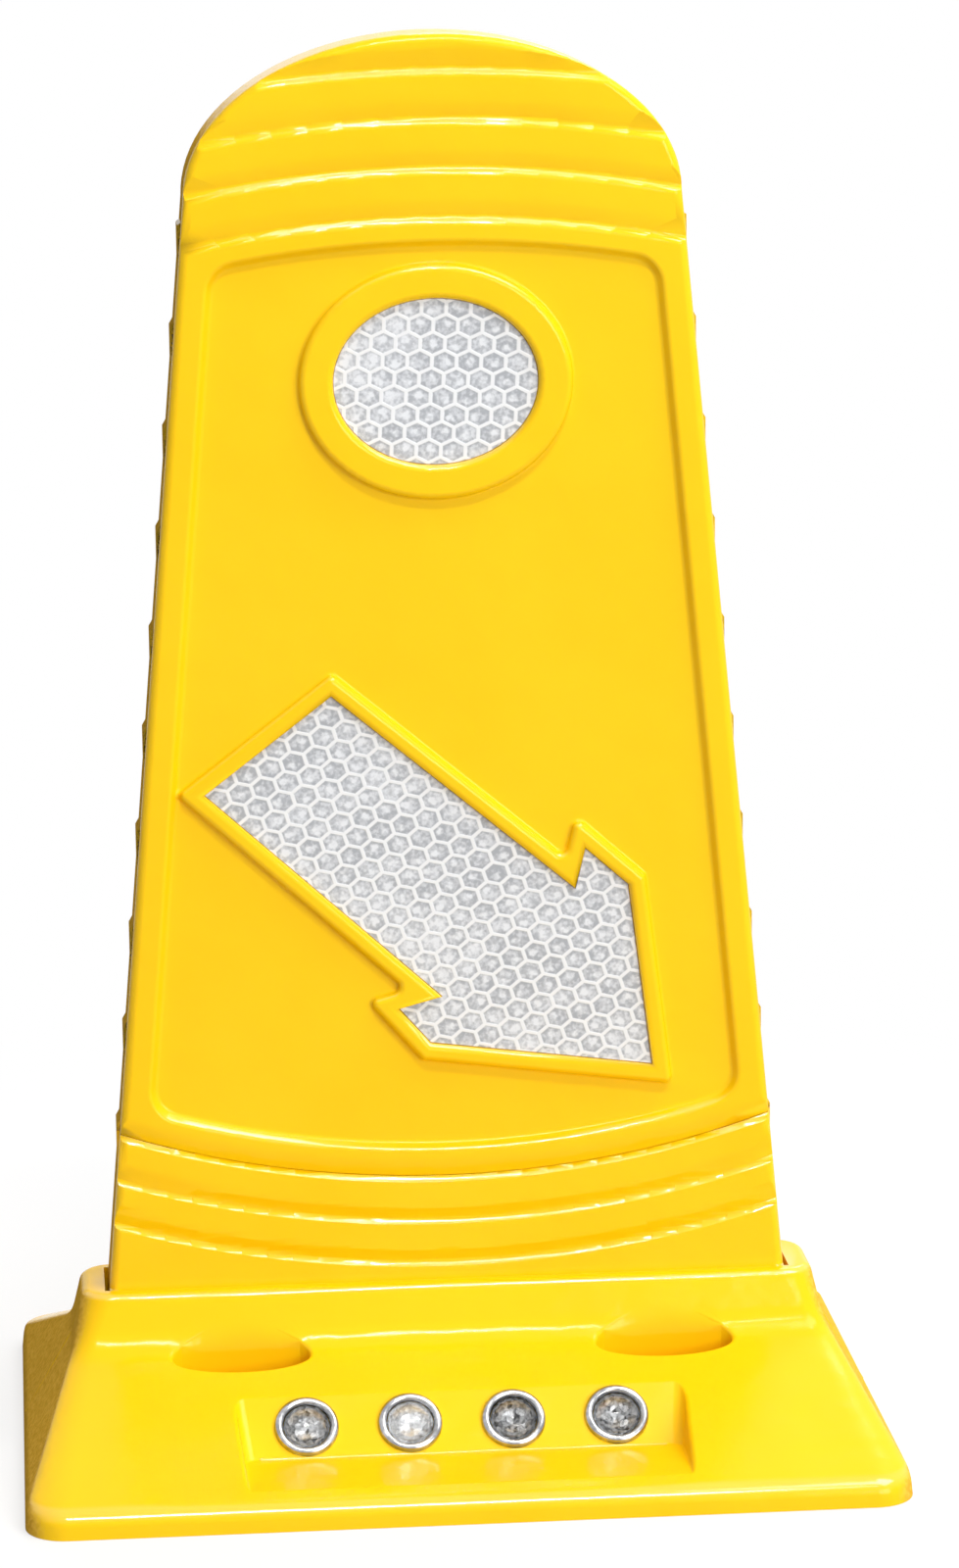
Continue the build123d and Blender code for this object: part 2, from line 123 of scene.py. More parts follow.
def setSockets(shader, values):
    for name, value in values.items():
        shader.inputs[name].default_value = value


def solidColour(red, green, blue):
    return (red, green, blue, 1.0)


# from the first limit to the second; on numbers and on wires
def between(limits, share):
    low, high = limits
    return low + (high - low) * share


def objectPlace(wire):
    return wire.node("ShaderNodeTexCoord", output="Object")


def noise(place, scale, detail):
    return place.node("ShaderNodeTexNoise", None, {"Vector": place, "Scale": scale, "Detail": detail})


def readMark(wire, name):
    return wire.node("ShaderNodeAttribute", {"attribute_name": name}, output="Fac")


def bumpFrom(height):
    return height.node("ShaderNodeBump", None, {"Height": height, "Distance": 1.0})


# lays a second shader over the material's own one, as far as the mask says
def coverShader(material, shader, mask, cover):
    own = Wire(material.node_tree, shader.outputs[0])
    mixed = own.node("ShaderNodeMixShader", None, {0: mask, 1: own, 2: cover})
    feed(mixed, material.node_tree.nodes["Material Output"], "Surface")


# glossy yellow moulding, a little uneven in colour and gloss as it leaves the mould,
# with coarse dull side faces in darker colours, that darkness being painted shade, and a polish on edges
# that look up
yellowPlastic = {
    "colour": solidColour(0.980, 0.610, 0.004),
    "warm": solidColour(0.980, 0.588, 0.003),
    "colourEdges": (0.35, 0.70),     # of the cloud noise, from plain to warm
    # side faces: grain in two tones, both darker than the front; the grain is real, the darkness is painted
    # shade
    "shadedSideDark": solidColour(0.79, 0.44, 0.040),
    "shadedSideLight": solidColour(0.94, 0.56, 0.075),
    "sideEdges": (0.40, 0.62),
    "roughness": (0.13, 0.21),
    "glossEdges": (0.30, 0.75),
    "sideRoughness": 0.8,
    "specular": 0.2,
    "cloud": (14.0, 3.0),            # scale and detail of each noise
    "wave": (55.0, 2.0),
    "grain": (900.0, 1.0),
    "sideGrain": (420.0, 3.0),
    "waveHeight": 0.0004,
    "grainHeight": 0.00003,
    "sideGrainHeight": 0.0004,
    "polishIndex": 1.9,              # refractive index
    "polishRoughness": 0.12,
}


def makeYellow(name, settings):
    material, shader, wire = newMaterial(name)
    place = objectPlace(wire)
    cloud = noise(place, *settings["cloud"])
    sideGrain = noise(place, *settings["sideGrain"])
    side = readMark(wire, "sideFace")
    clear = wire.mixColour(cloud.ramp(*settings["colourEdges"]), settings["colour"], settings["warm"])
    feed(clear, shader, "Base Color")
    feed(between(settings["roughness"], cloud.ramp(*settings["glossEdges"])), shader, "Roughness")
    height = noise(place, *settings["wave"]) * settings["waveHeight"]
    height = height + noise(place, *settings["grain"]) * settings["grainHeight"]
    bump = bumpFrom(height + sideGrain * side * settings["sideGrainHeight"])
    feed(bump, shader, "Normal")
    feed(readMark(wire, "edgeShine"), shader, "Coat Weight")
    setSockets(shader, {
        "Specular IOR Level": settings["specular"],
        "Coat IOR": settings["polishIndex"],
        "Coat Roughness": settings["polishRoughness"],
    })
    # side faces: dull coarse grain in darker colours, whose darkness is painted shade
    coarseShare = sideGrain.ramp(*settings["sideEdges"])
    dull = wire.node("ShaderNodeBsdfPrincipled", None, {
        "Base Color": wire.mixColour(coarseShare, settings["shadedSideDark"], settings["shadedSideLight"]),
        "Roughness": settings["sideRoughness"],
        "Specular IOR Level": 0.0,
        "Normal": bump,
    })
    coverShader(material, shader, side, dull)
    return material


# honeycomb reflective sheet: white seal lines round glassy grey cells, each with its own light spot, and
# painted shade towards each cell's rim
honeycomb = {
    "pitch": 0.0106,
    "squash": 0.84,                  # of a cell's height
    "tall": math.sqrt(3.0),          # pitches from one row of a grid to the next
    "roundTurn": -2.5,               # of the pattern, in degrees
    "arrowTurn": 15.0,
    "line": solidColour(0.83, 0.835, 0.845),
    "lineEdges": (0.385, 0.454),     # pitches from a cell's middle
    "lineRise": 0.00012,
    "cellDark": solidColour(0.385, 0.40, 0.43),
    "cellLight": solidColour(0.77, 0.785, 0.815),
    "plainTone": 0.22,               # share of the light shade, before what is added
    # the rim's negative share is painted shade: each cell is darker towards its seal lines
    "tones": {"cell": 0.30, "spot": 0.50, "glare": 0.30, "glint": 0.70, "rim": -0.25},
    "spotEdges": (0.002, 0.055),     # squared pitches from the spot's middle
    "spotDrift": 0.40,
    "glare": (16.0, 1.0),            # scale and detail
    "glareEdges": (0.45, 0.75),
    "glint": (520.0, 2.0),
    "glintEdges": (0.30, 0.70),
    "rimShadeEdges": (0.20, 0.40),
    "roughness": 0.28,
    "coat": 0.5,
    "coatRoughness": 0.08,
}


# place inside the nearest cell of one of the two grids that make a honeycomb
def cellOffset(across, up, tall, start):
    x = across.math("WRAP", across + start, 1.0, 0.0) - 0.5
    z = up.math("WRAP", up + start * tall, tall, 0.0) - tall / 2
    return x, z


# place from the middle of the nearest cell of both grids, and three chances that each cell has for itself
def nearestCell(place, settings, turn):
    flat = place.node("ShaderNodeMapping", {"vector_type": "POINT"},
                      {"Vector": place, "Scale": (1.0, 1.0, 1.0 / settings["squash"])})
    turned = place.node("ShaderNodeMapping", {"vector_type": "POINT"},
                        {"Vector": flat, "Rotation": (0.0, math.radians(turn), 0.0)})
    parts = place.node("ShaderNodeSeparateXYZ", None, {"Vector": turned})
    across = parts / settings["pitch"]
    up = parts.other("Z") / settings["pitch"]
    nearX, nearZ = cellOffset(across, up, settings["tall"], 0.0)
    farX, farZ = cellOffset(across, up, settings["tall"], 0.5)
    pickFar = place.math("LESS_THAN", farX * farX + farZ * farZ, nearX * nearX + nearZ * nearZ)
    x = between((nearX, farX), pickFar)
    z = between((nearZ, farZ), pickFar)
    column = place.math("ROUND", (across - x) * 2.0)
    row = place.math("ROUND", (up - z) * (2.0 / settings["tall"]))
    cell = place.node("ShaderNodeCombineXYZ", None, {"X": column, "Z": row})
    lot = place.node("ShaderNodeTexWhiteNoise", {"noise_dimensions": "3D"}, {"Vector": cell}, output="Color")
    return x, z, place.node("ShaderNodeSeparateColor", None, {"Color": lot})


def makeHoneycomb(name, settings, turn):
    material, shader, wire = newMaterial(name)
    place = objectPlace(wire)
    x, z, chance = nearestCell(place, settings, turn)
    reach = wire.math("MAXIMUM", abs(x), abs(x) * 0.5 + abs(z) * (settings["tall"] / 2))
    line = reach.ramp(*settings["lineEdges"])
    spotX = x - (chance - 0.5) * settings["spotDrift"]
    spotZ = z - (chance.other("Green") - 0.5) * settings["spotDrift"]
    shades = {
        "cell": chance.other("Blue"),
        "spot": 1.0 - (spotX * spotX + spotZ * spotZ).ramp(*settings["spotEdges"]),
        "glare": noise(place, *settings["glare"]).ramp(*settings["glareEdges"]),
        "glint": noise(place, *settings["glint"]).ramp(*settings["glintEdges"]) - 0.5,
        # painted shade towards the cell's edge, beside the seal lines
        "rim": reach.ramp(*settings["rimShadeEdges"]),
    }
    tone = settings["plainTone"]
    for kind, shade in shades.items():
        tone = tone + shade * settings["tones"][kind]
    body = wire.mixColour(tone, settings["cellDark"], settings["cellLight"])
    feed(wire.mixColour(line, body, settings["line"]), shader, "Base Color")
    feed(bumpFrom(line * settings["lineRise"]), shader, "Normal")
    setSockets(shader, {
        "Roughness": settings["roughness"],
        "Coat Weight": settings["coat"],
        "Coat Roughness": settings["coatRoughness"],
    })
    return material


# metals: two shades in flakes, with an uneven polish
metals = {
    "zincSteel": {
        "dark": solidColour(0.46, 0.47, 0.48),
        "light": solidColour(0.66, 0.67, 0.68),
        "roughness": (0.28, 0.46),
        "flakeScale": 260.0,
    },
    "brightRing": {
        "dark": solidColour(0.30, 0.30, 0.31),
        "light": solidColour(0.55, 0.55, 0.56),
        "roughness": (0.12, 0.28),
        "flakeScale": 500.0,
    },
}
metalGrain = {
    "flakeEdges": (0.10, 0.80),
    "flakeShare": 0.5,               # of the tone; clouds have the rest
    "flakesInCloud": 3.0,            # a cloud is this many flakes wide
    "cloudDetail": 3.0,
    "cloudEdges": (0.35, 0.65),
    "polishEdges": (0.30, 0.70),
}


def makeMetal(name, settings, grain):
    material, shader, wire = newMaterial(name)
    place = objectPlace(wire)
    inputs = {"Vector": place, "Scale": settings["flakeScale"]}
    flake = wire.node("ShaderNodeTexVoronoi", {"feature": "SMOOTH_F1"}, inputs, output="Distance")
    cloud = noise(place, settings["flakeScale"] / grain["flakesInCloud"], grain["cloudDetail"])
    tone = flake.ramp(*grain["flakeEdges"]) * grain["flakeShare"]
    tone = tone + cloud.ramp(*grain["cloudEdges"]) * (1.0 - grain["flakeShare"])
    feed(wire.mixColour(tone, settings["dark"], settings["light"]), shader, "Base Color")
    feed(between(settings["roughness"], cloud.ramp(*grain["polishEdges"])), shader, "Roughness")
    setSockets(shader, {"Metallic": 1.0})
    return material


# crumpled foil behind the glass beads: each bead's shade and the dark and bright facets are painted
# reflection
foil = {
    "dark": solidColour(0.015, 0.016, 0.018),
    "light": solidColour(0.94, 0.95, 0.96),
    "facetScale": 520.0,
    "facetReflectionTone": 0.55,
    "crease": (832.0, 2.0),          # scale and detail
    "creaseEdges": (0.30, 0.70),
    "creaseTone": 0.35,
    "metallic": 0.45,
    "roughness": (0.15, 0.40),
}


def makeFoil(name, settings):
    material, shader, wire = newMaterial(name)
    place = objectPlace(wire)
    inputs = {"Vector": place, "Scale": settings["facetScale"], "Randomness": 1.0}
    facet = wire.node("ShaderNodeTexVoronoi", {"feature": "F1"}, inputs, output="Color")
    chance = wire.node("ShaderNodeSeparateColor", None, {"Color": facet})
    crease = noise(place, *settings["crease"]).ramp(*settings["creaseEdges"])
    tone = readMark(wire, "paintedBeadReflection") + (chance - 0.5) * settings["facetReflectionTone"]
    tone = tone + (crease - 0.5) * settings["creaseTone"]
    feed(wire.mixColour(tone, settings["dark"], settings["light"]), shader, "Base Color")
    feed(between(settings["roughness"], chance.other("Green")), shader, "Roughness")
    # the metal share gives real reflection on top of the painted one
    setSockets(shader, {"Metallic": settings["metallic"]})
    return material


# clear glass with the faint ripple of a pressed bead
pressedGlass = {
    "colour": solidColour(0.95, 0.96, 0.97),
    "index": 1.5,
    "ripple": (260.0, 1.0),          # scale and detail
    "rippleHeight": 0.00005,
    "roughness": (0.01, 0.06),
    "roughEdges": (0.40, 0.80),
}


def makeGlass(name, settings):
    material, shader, wire = newMaterial(name)
    ripple = noise(objectPlace(wire), *settings["ripple"])
    feed(bumpFrom(ripple * settings["rippleHeight"]), shader, "Normal")
    feed(between(settings["roughness"], ripple.ramp(*settings["roughEdges"])), shader, "Roughness")
    setSockets(shader, {
        "Base Color": settings["colour"],
        "IOR": settings["index"],
        "Transmission Weight": 1.0,
    })
    return material


yellow = makeYellow("yellowMoulding", yellowPlastic)
roundSheet = makeHoneycomb("roundHoneycomb", honeycomb, honeycomb["roundTurn"])
arrowSheet = makeHoneycomb("arrowHoneycomb", honeycomb, honeycomb["arrowTurn"])
zincSteel = makeMetal("zincSteel", metals["zincSteel"], metalGrain)
brightRing = makeMetal("brightRing", metals["brightRing"], metalGrain)
mirrorFoil = makeFoil("mirrorFoil", foil)
clearGlass = makeGlass("clearGlass", pressedGlass)
print("stage: materials made")


# how meshes are cleaned and smoothed; metres and degrees
meshCare = {
    "copyMerge": 0.000002,           # joins the loose triangles of a copied solid
    "copyFlat": 0.2,                 # faces that turn less than this become one
    "turnedMerge": 0.000001,
    "softAngle": 40.0,               # edges that turn less than this are smooth
    "softWeight": 50,                # how much large faces count for the normals
}


def deselectAll():
    if bpy.context.mode != "OBJECT":
        bpy.ops.object.mode_set(mode="OBJECT")
    bpy.ops.object.select_all(action="DESELECT")


def pickOnly(piece):
    deselectAll()
    piece.select_set(True)
    bpy.context.view_layer.objects.active = piece


# selects the faces or points that the test picks, and leaves the piece in edit mode
def selectWhere(piece, kind, test):
    pickOnly(piece)
    bpy.ops.object.mode_set(mode="EDIT")
    bpy.ops.mesh.select_mode(type=kind)
    bpy.ops.mesh.select_all(action="DESELECT")
    bpy.ops.object.mode_set(mode="OBJECT")
    for part in piece.data.polygons if kind == "FACE" else piece.data.vertices:
        part.select = test(part)
    bpy.ops.object.mode_set(mode="EDIT")


def applyModifiers(piece):
    pickOnly(piece)
    for modifier in list(piece.modifiers):
        bpy.ops.object.modifier_apply(modifier=modifier.name)


# gives a thin sheet its thickness, on the side away from its normals
def addWall(piece, thickness):
    wall = piece.modifiers.new("wall", "SOLIDIFY")
    wall.thickness = thickness
    wall.offset = -1.0
    applyModifiers(piece)


def smoothByAngle(piece, angle):
    pickOnly(piece)
    bpy.ops.object.shade_smooth_by_angle(angle=math.radians(angle))


# rounded edges read as round: flat faces keep their normals and the small strips turn between them
def softShade(piece, settings):
    smoothByAngle(piece, settings["softAngle"])
    weighted = piece.modifiers.new("weighted", "WEIGHTED_NORMAL")
    weighted.mode = "FACE_AREA"
    weighted.weight = settings["softWeight"]
    weighted.keep_sharp = True
    applyModifiers(piece)


# a merged copy of a CAD node, which can then be shaded and shaped
def copyNode(node, name, settings):
    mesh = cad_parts[node].data.copy()
    piece = bpy.data.objects.new(name, mesh)
    bpy.context.scene.collection.objects.link(piece)
    pickOnly(piece)
    bpy.ops.object.mode_set(mode="EDIT")
    bpy.ops.mesh.select_all(action="SELECT")
    bpy.ops.mesh.remove_doubles(threshold=settings["copyMerge"])
    bpy.ops.mesh.dissolve_limited(angle_limit=math.radians(settings["copyFlat"]))
    bpy.ops.object.mode_set(mode="OBJECT")
    return piece


def setMaterial(piece, material):
    piece.data.materials.clear()
    piece.data.materials.append(material)


# the same mark on every face
def setMark(mesh, name, value):
    for mark in mesh.attributes.new(name, "FLOAT", "FACE").data:
        mark.value = value


# a finished copy of a model, put in its place in its own mesh
def placeCopy(model, name, place, material, body):
    piece = bpy.data.objects.new(name, model.data.copy())
    bpy.context.scene.collection.objects.link(piece)
    piece.data.transform(place)
    setMaterial(piece, material)
    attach(piece, body)
    return piece


# share of the way from the first limit to the second
def shareOf(value, limits):
    low, high = limits
    return min(max((value - low) / (high - low), 0.0), 1.0)


# marks on the moulded pieces, for their finish: coarse side faces, darker by painted shade, and polished
# edges; metres and normals
mouldMarks = {
    "sideways": (0.55, 0.85),        # of a side face's normal
    "upward": (0.48, 0.68),          # of a polished edge's normal
}
panelMarks = {
    "sideDepth": 0.0128,             # side faces lie within this of the middle plane
    "frontDepth": 0.0142,            # and the front beyond this
    "domeFoot": 0.550,
    "domeSize": (0.10675, 0.0685),
    "domeShare": 0.93,               # inside the dome's rounded edge
}
baseMarks = {
    "end": 0.150,
    "level": 0.92,                   # a point that looks up more than this lies on a flat face
    "forward": 0.2,                  # and one that looks forward or back less than this, on an end
    "collarTop": 0.0655,
    "lip": (0.0040, 0.0125),
    "lipShine": 0.7,                 # share of the collar's
}


def panelSide(face, settings):
    return abs(face.normal.x) if abs(face.center.y) < settings["sideDepth"] else 0.0


def panelShine(vertex, settings):
    above = vertex.co.z - settings["domeFoot"]
    halfWidth, rise = settings["domeSize"]
    inDome = math.hypot(vertex.co.x / halfWidth, max(above, 0.0) / rise) < settings["domeShare"]
    return 1.0 if abs(vertex.co.y) > settings["frontDepth"] and (inDome or above < 0.0) else 0.0


def baseSide(face, settings):
    return abs(face.normal.x) if abs(face.center.x) > settings["end"] else 0.0


def baseShine(vertex, settings):
    if vertex.normal.z > settings["level"] or abs(vertex.normal.y) < settings["forward"]:
        return 0.0
    if vertex.co.z > settings["collarTop"]:
        return 1.0
    foot, top = settings["lip"]
    return settings["lipShine"] if foot < vertex.co.z < top else 0.0


def finishMoulding(piece, sideTurn, shine, settings):
    softShade(piece, meshCare)
    # the side mark also carries the side faces' painted shade
    sides = piece.data.attributes.new("sideFace", "FLOAT", "FACE")
    for face, mark in zip(piece.data.polygons, sides.data):
        mark.value = shareOf(sideTurn(face, settings), mouldMarks["sideways"])
    edges = piece.data.attributes.new("edgeShine", "FLOAT", "POINT")
    for vertex, mark in zip(piece.data.vertices, edges.data):
        mark.value = shareOf(vertex.normal.z, mouldMarks["upward"]) * shine(vertex, settings)
    setMaterial(piece, yellow)


# low step lines: flat treads that dip only close above each line; metres
lowSteps = {
    "face": 0.0170,                  # of the panel, from its middle plane
    "depth": 0.0026,
    "dip": 0.70,                     # of that depth
    "kept": 0.55,                    # share of the slope that still dips
    "centre": 0.5660,                # height of the arcs' centre
    "zone": (0.4395, 0.0704),        # outside this radius and above this height
    "foot": (0.15025, 0.0906),       # half width of the panel at the collar and how fast it narrows
    "collar": 0.0700,
    "edge": 0.0040,
    "slack": 0.00002,
}


def inSteps(place, settings):
    radius = math.hypot(place.x, place.z - settings["centre"])
    outside, above = settings["zone"]
    deepest = settings["face"] - settings["depth"] - settings["slack"]
    return radius > outside and place.z > above and abs(place.y) > deepest


# how far out the rounded front edge stands at this place
def edgeFace(place, settings):
    half, narrowing = settings["foot"]
    inside = half - narrowing * (place.z - settings["collar"]) - abs(place.x)
    turn = max(settings["edge"] - inside, 0.0)
    return settings["face"] - settings["edge"] + math.sqrt(max(settings["edge"] ** 2 - turn ** 2, 0.0))


def gatherSteps(piece, settings):
    kink = settings["face"] - settings["depth"] * (1.0 - settings["kept"])
    for way in (-1.0, 1.0):
        selectWhere(piece, "FACE", lambda face: face.center.y * way > 0.0 and inSteps(face.center, settings))
        bpy.ops.mesh.bisect(plane_co=(0.0, kink * way, 0.0), plane_no=(0.0, 1.0, 0.0))
        bpy.ops.object.mode_set(mode="OBJECT")
    for vertex in piece.data.vertices:
        limit = edgeFace(vertex.co, settings)
        if inSteps(vertex.co, settings) and abs(vertex.co.y) < limit - settings["slack"]:
            share = (settings["face"] - abs(vertex.co.y)) / settings["depth"]
            dip = max(share - 1.0 + settings["kept"], 0.0) / settings["kept"] * settings["dip"]
            out = min(settings["face"] - settings["depth"] * dip, limit)
            vertex.co.y = math.copysign(out, vertex.co.y)


# panel halves
for side in ("front", "rear"):
    shell = copyNode(side + "_panel_shell", side + "_panel", meshCare)
    gatherSteps(shell, lowSteps)
    finishMoulding(shell, panelSide, panelShine, panelMarks)
    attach(shell, "panel")
    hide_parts(side + "_panel_shell")
    setMaterial(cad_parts[side + "_round_reflector"], roundSheet)
    setMaterial(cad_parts[side + "_arrow_reflector"], arrowSheet)
setMaterial(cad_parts["panel_dowels"], zincSteel)
print("stage: panel halves and sheets done")


# ends of the bead recess: they stand steeper than on the solid, by sliding their points sideways; metres
recessEnds = {
    "floor": 0.0140,
    "top": 0.0370,
    "halfWidth": 0.0915,             # of the solid's floor
    "inner": 0.0800,                 # where the rounded corners start
    "draft": 24.0,                   # of the solid's ends, in degrees
    "steeper": 9.0,                  # of the copy's ends
    "letOut": 0.0035,                # at the floor
    "wallFoot": 0.0891,              # of the leaning wall, from the middle plane
    "wallLean": 44.0,
    "wallSlack": 0.0010,
    "skirtFoot": (0.1390, 0.0100),
    "skirtSlope": 0.0370 / 0.1060,   # rise by run
    "rim": 0.0040,                   # rounding along the skirt
    "rimReach": 0.0060,              # how far behind the skirt's face it counts
    "endSlack": 0.0003,
    "floorSlack": 0.0005,
}


def onRecessEnd(place, settings):
    across, out, rise = abs(place.x), abs(place.y), place.z - settings["floor"]
    lean = math.radians(settings["wallLean"])
    beforeWall = (out - settings["wallFoot"]) * math.sin(lean) + rise * math.cos(lean)
    footY, footZ = settings["skirtFoot"]
    behindSkirt = footY - (place.z - footZ) / settings["skirtSlope"] - out
    end = settings["halfWidth"] + rise * math.tan(math.radians(settings["draft"]))
    end += settings["rim"] if behindSkirt < settings["rimReach"] else settings["endSlack"]
    inHeight = -settings["floorSlack"] < rise < settings["top"] - settings["floor"]
    return settings["inner"] < across < end and inHeight and beforeWall > -settings["wallSlack"]


def steepenEnds(piece, settings):
    draft, steeper = (math.tan(math.radians(settings[name])) for name in ("draft", "steeper"))
    for vertex in piece.data.vertices:
        if onRecessEnd(vertex.co, settings):
            slide = settings["letOut"] - (vertex.co.z - settings["floor"]) * (draft - steeper)
            vertex.co.x += slide * math.copysign(1.0, vertex.co.x)


# base
base = copyNode("base_moulding", "base", meshCare)
steepenEnds(base, recessEnds)
finishMoulding(base, baseSide, baseShine, baseMarks)
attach(base, "base")
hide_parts("base_moulding")
setMaterial(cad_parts["clamp_plate"], zincSteel)
setMaterial(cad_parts["clamp_screws"], zincSteel)
print("stage: base done")


# back of an anchor pocket: the collar's slope runs over the pocket's edge and turns down inside it; metres
pocketBack = {
    "centre": (-0.0935, -0.0385),
    "spacing": 0.187,
    "halfSize": (0.030, 0.0095),
    "reach": (30.0, 150.0),          # along the pocket's edge, in degrees
    "runUp": (0.0030, 0.0013),       # behind the edge, where the sheet lies on the collar
    "swell": 0.0025,                 # how far the slope comes forward before it is upright
    "leastSwell": 0.00005,
    "lift": 0.00002,
    "floor": 0.0120,
    "wall": 0.0002,
    "columns": 48,
    "turnRows": 6,
    "castHeight": 0.2,
}


# height of the base's outer face at a place in plan
def outerHeight(x, y, castHeight):
    return base.ray_cast(Vector((x, y, castHeight)), Vector((0.0, 0.0, -1.0)))[1].z


# one upright line of the pocket's back, from the collar down to the pocket's floor
def pocketLine(x, share, settings):
    wall = settings["centre"][1] + settings["halfSize"][1] * share
    line = [(wall + back, outerHeight(x, wall + back, settings["castHeight"])) for back in settings["runUp"]]
    high, low = line
    lean = (high[0] - low[0]) / (high[1] - low[1])
    rim = low[1] - (low[0] - wall) / lean
    swell = settings["leastSwell"] + settings["swell"] * max(2.0 * share - 1.0, 0.0)
    drop = 2.0 * swell / lean        # a parabola that starts along the slope and ends upright
    for row in range(settings["turnRows"] + 1):
        part = row / settings["turnRows"]
        line.append((wall - swell * (2.0 * part - part * part), rim - drop * part))
    line.append((wall - swell, settings["floor"]))
    return [Vector((x, y, z + settings["lift"])) for y, z in line]


def modelPocketBack(settings):
    first, last = settings["reach"]
    columns = settings["columns"]
    rows = settings["turnRows"] + 3  # with the run-up, the way to the rim and the wall
    deselectAll()
    bpy.ops.mesh.primitive_grid_add(x_subdivisions=columns, y_subdivisions=rows, size=1.0)
    sheet = bpy.context.object
    sheet.name = "pocketBack"
    for column in range(columns + 1):
        angle = math.radians(between((last, first), column / columns))
        x = settings["centre"][0] + settings["halfSize"][0] * math.cos(angle)
        for row, place in enumerate(pocketLine(x, math.sin(angle), settings)):
            sheet.data.vertices[row * (columns + 1) + column].co = place
    pickOnly(sheet)
    bpy.ops.object.mode_set(mode="EDIT")
    bpy.ops.mesh.select_all(action="SELECT")
    bpy.ops.mesh.flip_normals()
    bpy.ops.object.mode_set(mode="OBJECT")
    addWall(sheet, settings["wall"])
    smoothByAngle(sheet, meshCare["softAngle"])
    return sheet


sideTurns = {"front": Matrix.Rotation(0.0, 4, "Z"), "rear": Matrix.Rotation(math.pi, 4, "Z")}
backModel = modelPocketBack(pocketBack)
for side, turn in sideTurns.items():
    for index in (1, 2):
        shift = Matrix.Translation(((index - 1) * pocketBack["spacing"], 0.0, 0.0))
        name = "_".join((side, "pocket", "back", str(index)))
        placeCopy(backModel, name, turn @ shift, yellow, "base")
bpy.data.objects.remove(backModel)
print("stage: pocket backs done")


# neck: the copy is cut across at even heights between the base and the panel; metres
neckBend = {
    "foot": 0.0705,
    "head": 0.1125,
    "cuts": 20,
    "stemFoot": 0.0285,
    "stemTop": 0.0706,
    "stemFace": 0.0165,
    "squeeze": 1.022,                # factor that the stem swells by in its slot, front and back
}


def inStem(vertex):
    inSlot = neckBend["stemFoot"] < vertex.co.z < neckBend["stemTop"]
    return inSlot and abs(vertex.co.y) > neckBend["stemFace"]


neck = copyNode("flex_neck", "neck", meshCare)
gatherSteps(neck, lowSteps)
pickOnly(neck)
bpy.ops.object.mode_set(mode="EDIT")
for index in range(neckBend["cuts"] + 1):
    z = between((neckBend["foot"], neckBend["head"]), index / neckBend["cuts"])
    bpy.ops.mesh.select_all(action="SELECT")
    bpy.ops.mesh.bisect(plane_co=(0.0, 0.0, z), plane_no=(0.0, 0.0, 1.0))
selectWhere(neck, "VERT", inStem)
bpy.ops.transform.resize(value=(1.0, neckBend["squeeze"], 1.0), center_override=(0.0, 0.0, 0.0))
bpy.ops.object.mode_set(mode="OBJECT")
finishMoulding(neck, panelSide, panelShine, panelMarks)
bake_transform(neck)
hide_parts("flex_neck")
print("stage: neck done")


# bead reflectors: a bright ring, a glass dome and a faceted mirror cup behind it;
# metres, along the bead's axis
bead = {
    "count": 4,
    "lean": 44.0,                    # of the wall that the beads sit in, in degrees
    "radius": 0.0102,                # of the glass
    "foot": -0.0055,                 # of the glass drum, from the wall's face
    "footDraw": (0.96, 0.93),        # shares of the radius and the depth at the drum's broken edge
    "edge": 0.0005,                  # where the dome starts
    "domeRise": 0.0046,
    "domeRings": 9,
    "sides": 64,
    "ringProfile": [(0.01035, -0.0040), (0.01035, 0.0012), (0.01075, 0.0022), (0.01150, 0.0026),
                    (0.01260, 0.0026), (0.01345, 0.0021), (0.01395, 0.0012), (0.01400, 0.0),
                    (0.01170, 0.0), (0.01170, -0.0040)],
    "ringAngle": 50.0,               # its edges that turn less than this are smooth
    "cupSides": 12,
    "cupProfile": [(0.01010, 0.0004), (0.00775, -0.0024), (0.00430, -0.0040)],
    "cupTip": -0.0050,
    "cupWall": 0.0003,
    "shades": (0.42, 0.72, 0.26, 0.34),   # painted reflection of the mirror cups, one for each bead
}


# rings of points round the axis, each extruded from the last one and drawn to its radius
def turnProfile(name, profile, sides):
    deselectAll()
    radius, height = profile[0]
    bpy.ops.mesh.primitive_circle_add(vertices=sides, radius=radius, location=(0.0, 0.0, height))
    piece = bpy.context.object
    piece.name = name
    bpy.ops.object.transform_apply(location=True)
    bpy.ops.object.mode_set(mode="EDIT")
    bpy.ops.mesh.select_all(action="SELECT")
    for nextRadius, nextHeight in profile[1:]:
        bpy.ops.mesh.extrude_region_move(TRANSFORM_OT_translate={"value": (0.0, 0.0, nextHeight - height)})
        share = nextRadius / radius
        bpy.ops.transform.resize(value=(share, share, 1.0), center_override=(0.0, 0.0, nextHeight))
        radius, height = nextRadius, nextHeight
    return piece


# ends an open turned form in edit mode: the last ring is drawn together to a point on the axis
def closeTip(tipRise):
    bpy.ops.mesh.extrude_region_move(TRANSFORM_OT_translate={"value": (0.0, 0.0, tipRise)})
    bpy.ops.mesh.merge(type="CENTER")


def selectOpenRings():
    bpy.ops.mesh.select_all(action="DESELECT")
    bpy.ops.mesh.select_non_manifold()


def closeTurned(settings):
    bpy.ops.mesh.select_all(action="SELECT")
    bpy.ops.mesh.remove_doubles(threshold=settings["turnedMerge"])
    bpy.ops.mesh.normals_make_consistent(inside=False)
    bpy.ops.object.mode_set(mode="OBJECT")


def modelRing(settings):
    ring = turnProfile("beadRing", settings["ringProfile"], settings["sides"])
    selectOpenRings()
    bpy.ops.mesh.bridge_edge_loops()
    closeTurned(meshCare)
    smoothByAngle(ring, settings["ringAngle"])
    return ring


